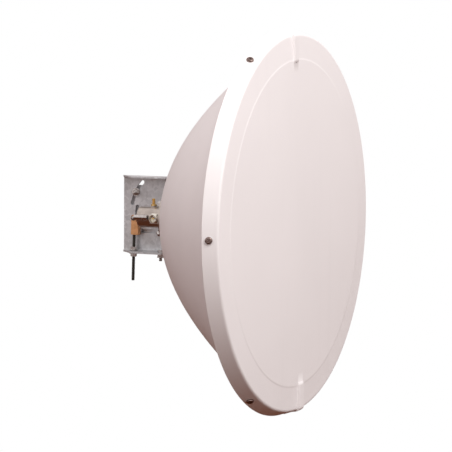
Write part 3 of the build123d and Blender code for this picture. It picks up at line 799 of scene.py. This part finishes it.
class DISH_OT_tuning(bpy.types.Operator):
    """Tuning screw and its lock nut on top of the feed body"""
    bl_idname = "dish.tuning"
    bl_label = "Tuning screw"

    def execute(self, context):
        threaded_bar("tuner", "tuning_screw", "brass", (0, 0, 1), 0.75 * MM, plain=6 * MM)
        nuts("tuner_nut", "tuning_nut", "brass", (0, 0, 1), 9 * MM, 6.1 * MM)
        return {"FINISHED"}


# ------------------------------------------------------------------ bracket
class DISH_OT_sheet_metal(bpy.types.Operator):
    """Punched and folded plates of the bracket, with rounded edges"""
    bl_idname = "dish.sheet_metal"
    bl_label = "Sheet metal"

    def execute(self, context):
        edge = context.scene.dish_sizes.sheet_edge
        softened("tilt_bracket", "tilt_plate", "galvanised_sheet", edge)
        softened("dish_bracket", "dish_seat", "galvanised_sheet", edge)
        softened("mast_bracket", "mast_plate", "galvanised_sheet", edge)
        return {"FINISHED"}


class DISH_OT_castings(bpy.types.Operator):
    """Seat ring and the two halves of the mast clamp"""
    bl_idname = "dish.castings"
    bl_label = "Castings"

    def execute(self, context):
        edge = context.scene.dish_sizes.casting_edge
        softened("seat", "seat_ring", "bare_aluminium", edge)
        softened("saddle", "clamp_saddle", "galvanised_sheet", edge * 1.6)
        softened("jaw", "clamp_jaw", "galvanised_sheet", edge * 1.6)
        return {"FINISHED"}


class DISH_OT_bolts(bpy.types.Operator):
    """Hexagon bolts with threaded ends"""
    bl_idname = "dish.bolts"
    bl_label = "Bolts"

    def execute(self, context):
        steel = "stainless_fixing"
        small = (10 * MM, 4 * MM, 6 * MM, 1.0 * MM)    # across, head, size and pitch of M6
        large = (13 * MM, 5.3 * MM, 8 * MM, 1.25 * MM)    # the same of M8
        bolts("seat_screws", "seat_bolts", steel, (0, -1, 0), *small, 14 * MM)
        bolts("tab_screws", "tab_bolts", steel, (-1, 0, 0), *small, 6 * MM)
        bolts("bonding_screw", "earth_screw", steel, (0, 0, 1), *small, 12 * MM)
        bolts("pivot_screw", "pivot_bolt", steel, (-1, 0, 0), *large, 8 * MM)
        bolts("lock_screw", "lock_bolt", steel, (1, 0, 0), *small, 12 * MM)
        return {"FINISHED"}


class DISH_OT_nuts(bpy.types.Operator):
    """Hexagon nuts turned off at both ends"""
    bl_idname = "dish.nuts"
    bl_label = "Nuts"

    def execute(self, context):
        steel = "stainless_fixing"
        nuts("seat_hex_nuts", "seat_nuts", steel, (0, 1, 0), 10 * MM, 6 * MM)
        nuts("tab_hex_nuts", "tab_nuts", steel, (1, 0, 0), 10 * MM, 6 * MM)
        nuts("pivot_hex_nut", "pivot_nut", steel, (1, 0, 0), 13 * MM, 8 * MM)
        nuts("lock_hex_nut", "lock_nut", steel, (-1, 0, 0), 10 * MM, 6 * MM)
        nuts("clamp_hex_nuts", "clamp_nuts", steel, (1, 0, 0), 13 * MM, 8 * MM)
        softened("rod_hex_nuts", "adjuster_nuts", steel, 0.4 * MM)
        softened("bonding_nuts", "earth_nuts", steel, 0.2 * MM)
        return {"FINISHED"}


class DISH_OT_washers(bpy.types.Operator):
    """Washers, spacers and the friction disc"""
    bl_idname = "dish.washers"
    bl_label = "Washers"

    def execute(self, context):
        for name, node in (("seat_rings", "seat_washers"), ("pivot_rings", "pivot_washers"),
                           ("lock_ring", "lock_washer"), ("clamp_rings", "clamp_washers"),
                           ("rod_rings", "adjuster_washers"), ("pin_ring", "pin_washer"),
                           ("lock_sleeve", "lock_spacer")):
            softened(name, node, "stainless_fixing", 0.25 * MM)
        softened("friction_pad", "friction_disc", "grey_plastic", 0.3 * MM)
        return {"FINISHED"}


class DISH_OT_adjuster(bpy.types.Operator):
    """Threaded rod, swivel block, its pin and snap ring, and the clamp's studs"""
    bl_idname = "dish.adjuster"
    bl_label = "Tilt adjuster"

    def execute(self, context):
        lean = math.radians(1.5)    # the rod's, lower end rearwards
        threaded_bar("tilt_rod", "adjuster_rod", "dark_threaded_rod",
                     (0, math.sin(lean), -math.cos(lean)), 1.0 * MM, plain=12 * MM)
        threaded_bar("studs", "clamp_studs", "stainless_fixing", (1, 0, 0), 1.25 * MM,
                     plain=34 * MM)
        softened("swivel", "swivel_block", "yellow_zinc", 0.5 * MM)
        softened("pivot_pin", "swivel_pin", "stainless_fixing", 0.2 * MM)
        softened("snap_ring", "pin_clip", "dark_threaded_rod", 0.1 * MM)
        return {"FINISHED"}


# ------------------------------------------------------------------ stage
FLOOR_HALF = 6.0
FLOOR_LIGHT = (0.11, 0.03, 0.01, 1.0)
BRIGHT_SIDE = (-0.50, -0.25, 0.83)
SKY_LOW = (0.12, 0.055, 0.035, 1)
SKY_MIDDLE = (0.86, 0.82, 0.82, 1)
SKY_HIGH = (0.85, 0.83, 0.83, 1)
SOFTBOX_SIZE = (1.9, 1.5)
SOFTBOX_PLACE = (-1.2, -2.1, 1.9)
SOFTBOX_AIM = (-0.1, -0.25, 0.0)


class DISH_OT_stage(bpy.types.Operator):
    """Pale floor, soft studio light and the camera"""
    bl_idname = "dish.stage"
    bl_label = "Stage"

    def execute(self, context):
        settings = context.scene.dish_stage
        self.floor(context, settings)
        self.surroundings(context, settings)
        self.softbox(context, settings)
        self.camera(context, settings)
        context.scene.view_settings.view_transform = "Standard"
        return {"FINISHED"}

    def floor(self, context, settings):
        """Flat square sheet: x and y run evenly over twelve metres, z stays level."""
        span = np.linspace(-FLOOR_HALF, FLOOR_HALF, 9)
        x, y = np.meshgrid(span, span, indexing="ij")
        points = np.stack((x, y, 0 * x + settings.floor_height), -1).reshape(-1, 3)
        index = np.arange(81).reshape(9, 9)
        faces = np.stack((index[:-1, :-1], index[1:, :-1], index[1:, 1:], index[:-1, 1:]), -1)
        mesh = bpy.data.meshes.new("floor")
        mesh.from_pydata(points.tolist(), [], faces.reshape(-1, 4).tolist())
        material = bpy.data.materials.new("pale_floor")
        material.use_nodes = True
        tree = material.node_tree
        tree.nodes.clear()
        self.pale_outside(tree, "ShaderNodeOutputMaterial", "ShaderNodeEmission",
                          FLOOR_LIGHT, 1.0)
        mesh.materials.append(material)
        floor = bpy.data.objects.new("floor", mesh)
        context.scene.collection.objects.link(floor)

    def pale_outside(self, tree, output, source, colour, strength):
        """White to the eye, and a chosen light on what stands in it."""
        seen, lit = tree.nodes.new(source), tree.nodes.new(source)
        seen.inputs["Color"].default_value = (1, 1, 1, 1)
        seen.inputs["Strength"].default_value = 1.0
        if isinstance(colour, bpy.types.NodeSocket):
            tree.links.new(colour, lit.inputs["Color"])
        else:
            lit.inputs["Color"].default_value = colour
        lit.inputs["Strength"].default_value = strength
        ray, mix = tree.nodes.new("ShaderNodeLightPath"), tree.nodes.new("ShaderNodeMixShader")
        tree.links.new(ray.outputs["Is Camera Ray"], mix.inputs[0])
        tree.links.new(lit.outputs[0], mix.inputs[1])
        tree.links.new(seen.outputs[0], mix.inputs[2])
        tree.links.new(mix.outputs[0], tree.nodes.new(output).inputs["Surface"])

    def surroundings(self, context, settings):
        """Light from all round, brightest above and to the dish's -X side, dim from below."""
        world = context.scene.world or bpy.data.worlds.new("studio")
        context.scene.world = world
        world.use_nodes = True
        tree = world.node_tree
        tree.nodes.clear()
        where = tree.nodes.new("ShaderNodeTexCoord")
        key = tree.nodes.new("ShaderNodeVectorMath")
        key.operation = "DOT_PRODUCT"
        key.inputs[1].default_value = BRIGHT_SIDE
        ramp = tree.nodes.new("ShaderNodeValToRGB")
        half = tree.nodes.new("ShaderNodeMapRange")
        half.inputs["From Min"].default_value = -1.0
        tree.links.new(where.outputs["Generated"], key.inputs[0])
        tree.links.new(key.outputs["Value"], half.inputs["Value"])
        tree.links.new(half.outputs["Result"], ramp.inputs["Fac"])
        stops = ramp.color_ramp.elements
        stops[0].position, stops[0].color = 0.15, SKY_LOW
        stops[1].position, stops[1].color = 1.0, SKY_HIGH
        middle = stops.new(0.5)
        middle.color = SKY_MIDDLE
        self.pale_outside(tree, "ShaderNodeOutputWorld", "ShaderNodeBackground",
                          ramp.outputs["Color"], settings.sky)

    def softbox(self, context, settings):
        lamp = bpy.data.lights.new("softbox", "AREA")
        lamp.shape = "RECTANGLE"
        lamp.size, lamp.size_y = SOFTBOX_SIZE
        lamp.energy = settings.softbox_power
        box = bpy.data.objects.new("softbox", lamp)
        context.scene.collection.objects.link(box)
        origin = np.array(SOFTBOX_PLACE)
        turn = axes_along(origin - np.array(SOFTBOX_AIM))
        rows = [(*turn[:, i], origin[i]) for i in range(3)]
        box.matrix_world = Matrix(rows + [(0, 0, 0, 1)])

    def camera(self, context, settings):
        """Looks at its aim from an azimuth and an elevation, rolled a little."""
        a, e, roll = settings.azimuth, settings.elevation, settings.roll
        back = np.array((math.sin(a) * math.cos(e), -math.cos(a) * math.cos(e), math.sin(e)))
        level = np.array((math.cos(a), math.sin(a), 0.0))
        upright = np.cross(back, level)
        right = level * math.cos(roll) + upright * math.sin(roll)
        up = upright * math.cos(roll) - level * math.sin(roll)
        at = np.array(settings.aim) + back * settings.distance
        data = bpy.data.cameras.new("camera")
        data.sensor_width = 36.0
        data.lens = settings.lens
        camera = bpy.data.objects.new("camera", data)
        context.scene.collection.objects.link(camera)
        rows = [(right[i], up[i], back[i], at[i]) for i in range(3)]
        camera.matrix_world = Matrix(rows + [(0, 0, 0, 1)])
        context.scene.camera = camera


PIECES = (DISH_OT_cover, DISH_OT_reflector, DISH_OT_cover_fixings, DISH_OT_feed,
          DISH_OT_connector, DISH_OT_tuning, DISH_OT_sheet_metal, DISH_OT_castings,
          DISH_OT_bolts, DISH_OT_nuts, DISH_OT_washers, DISH_OT_adjuster, DISH_OT_stage)


class DISH_PT_panel(bpy.types.Panel):
    """Sizes, colours and pieces of the dish"""
    bl_label = "Covered dish"
    bl_idname = "DISH_PT_panel"
    bl_space_type = "VIEW_3D"
    bl_region_type = "UI"
    bl_category = "Dish"

    def draw(self, context):
        scene = context.scene
        for group in (scene.dish_sizes, scene.dish_colours, scene.dish_stage):
            box = self.layout.box()
            for name in group.__annotations__:
                box.prop(group, name)
        for operator in PIECES:
            self.layout.operator(operator.bl_idname)


GROUPS = {"dish_sizes": DishSizes, "dish_colours": DishColours, "dish_stage": StageSettings}


def register():
    for item in (*GROUPS.values(), *PIECES, DISH_PT_panel):
        bpy.utils.register_class(item)
    for name, group in GROUPS.items():
        setattr(bpy.types.Scene, name, PointerProperty(type=group))


def unregister():
    for name in GROUPS:
        delattr(bpy.types.Scene, name)
    for item in (DISH_PT_panel, *reversed(PIECES), *GROUPS.values()):
        bpy.utils.unregister_class(item)


def main():
    register()
    for operator in PIECES:
        group, name = operator.bl_idname.split(".")
        getattr(getattr(bpy.ops, group), name)()


if __name__ == "__main__":
    main()
